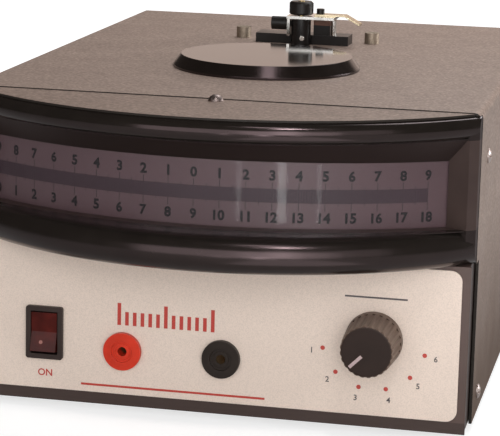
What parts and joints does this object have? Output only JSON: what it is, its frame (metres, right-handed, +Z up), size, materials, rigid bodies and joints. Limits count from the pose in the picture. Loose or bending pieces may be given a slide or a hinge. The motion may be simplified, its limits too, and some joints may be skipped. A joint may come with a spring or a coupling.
{
  "type": "reflecting galvanometer",
  "caption": "Bench reflecting galvanometer: box case with a long curved scale in a projecting black hood, input sockets, shunt selector and a suspension head on top.",
  "frame": {"origin": "middle of the outline, on the surface that the feet stand on", "axes": "+X to the right of someone facing the scale, +Y from the scale to the rear panel, +Z up"},
  "size_m": [0.207, 0.329, 0.1501],
  "materials": {
    "case_paint": "hammered grey-brown paint",
    "panel_paint": "satin grey-violet paint",
    "screw_steel": "zinc plated, dulled",
    "foot_rubber": "black rubber",
    "hood_black": "glossy black moulding",
    "scale_print": "grey translucent strip with printed figures",
    "clear_window": "clear acrylic",
    "spring_steel": "bright spring steel",
    "label_cream": "cream printed plate",
    "switch_black": "black moulding",
    "rocker_red": "dark red translucent lens",
    "socket_red": "red moulding",
    "socket_black": "black moulding",
    "contact_brass": "plated brass",
    "plated_steel": "zinc plated",
    "knob_black": "brown-black moulding",
    "pointer_white": "white filled line",
    "phenolic": "brown laminate",
    "resistor_body": "tan coated body",
    "lid_black": "polished black",
    "tube_black": "matt black",
    "holder_grey": "grey moulding",
    "bulb_glass": "clear glass",
    "lens_glass": "clear glass",
    "head_black": "glossy black enamel",
    "head_plastic": "black moulding",
    "bright_plate": "bright plating",
    "spring_brass": "pale brass strip",
    "brass": "turned brass",
    "plate_aluminium": "plain sheet",
    "magnet_alloy": "cast magnet alloy",
    "soft_iron": "machined soft iron",
    "coil_copper": "enamelled copper",
    "mirror_glass": "silvered glass",
    "lamination": "varnished laminations",
    "winding_tape": "taped winding",
    "fuse_black": "black moulding",
    "gland_black": "black nylon"
  },
  "bodies": {
    "case": {"case_cover": "case_paint", "visor_plate": "case_paint", "chassis": "panel_paint", "cover_screws": "screw_steel", "foot_screws": "screw_steel", "visor_screw": "screw_steel", "feet": "foot_rubber", "scale_hood": "hood_black", "scale_strip": "scale_print", "scale_window": "clear_window", "scale_clips": "spring_steel", "front_label": "label_cream", "switch_body": "switch_black", "red_socket": "socket_red", "black_socket": "socket_black", "socket_sleeves": "contact_brass", "socket_nuts": "plated_steel", "selector_body": "plated_steel", "selector_nut": "plated_steel", "wafer_posts": "plated_steel", "lamp_bracket": "plated_steel", "tube_nut": "plated_steel", "gland_nut": "plated_steel", "selector_wafer": "phenolic", "insulating_block": "phenolic", "shunt_resistors": "resistor_body", "lamp_tube": "tube_black", "lamp_holder": "holder_grey", "lamp_bulb": "bulb_glass", "condenser_lens": "lens_glass", "suspension_tube": "head_black", "head_block": "head_black", "spring_screw": "head_black", "tube_lock_screw": "bright_plate", "head_bracket": "bright_plate", "bracket_pin": "bright_plate", "pillar_screws": "bright_plate", "leaf_spring": "spring_brass", "movement_pillars": "brass", "core_strut": "brass", "lower_strap": "brass", "movement_plate": "plate_aluminium", "magnet": "magnet_alloy", "pole_pieces": "soft_iron", "iron_core": "soft_iron", "transformer_core": "lamination", "transformer_winding": "winding_tape", "fuse_holder": "fuse_black", "mains_gland": "gland_black"},
    "rocker": {"switch_rocker": "rocker_red"},
    "selector": {"selector_knob": "knob_black", "knob_pointer": "pointer_white", "selector_shaft": "plated_steel", "selector_rotor": "contact_brass"},
    "lid": {"lamp_cover": "lid_black"},
    "torsion_head": {"torsion_spindle": "brass", "torsion_knob": "head_plastic"},
    "coil": {"moving_coil": "coil_copper", "mirror_disc": "mirror_glass"},
    "clamp": {"clamp_screw": "head_plastic"}
  },
  "joints": [
    {"name": "rocker_tilt", "type": "hinge", "parent": "case", "child": "rocker", "pos_m": [-0.068, -0.1193, 0.0322], "axis": [1, 0, 0], "range_deg": [0, 16]},
    {"name": "selector_turn", "type": "hinge", "parent": "case", "child": "selector", "pos_m": [0.0646, -0.1203, 0.0396], "axis": [0, -1, 0], "range_deg": [-30, 120]},
    {"name": "lid_lift", "type": "slide", "parent": "case", "child": "lid", "axis": [0, 0, 1], "range_m": [0, 0.02]},
    {"name": "torsion_turn", "type": "hinge", "parent": "case", "child": "torsion_head", "pos_m": [0, 0.0515, 0.1297], "axis": [0, 0, 1], "range_deg": [-30, 30]},
    {"name": "coil_swing", "type": "hinge", "parent": "torsion_head", "child": "coil", "pos_m": [0, 0.0515, 0.1297], "axis": [0, 0, 1], "range_deg": [-12, 12], "stiffness_Nm_per_rad": 0.0001},
    {"name": "clamp_turn", "type": "hinge", "parent": "case", "child": "clamp", "pos_m": [-0.009, 0.0515, 0.1393], "axis": [1, 0, 0], "range_deg": [-180, 180]}
  ]
}
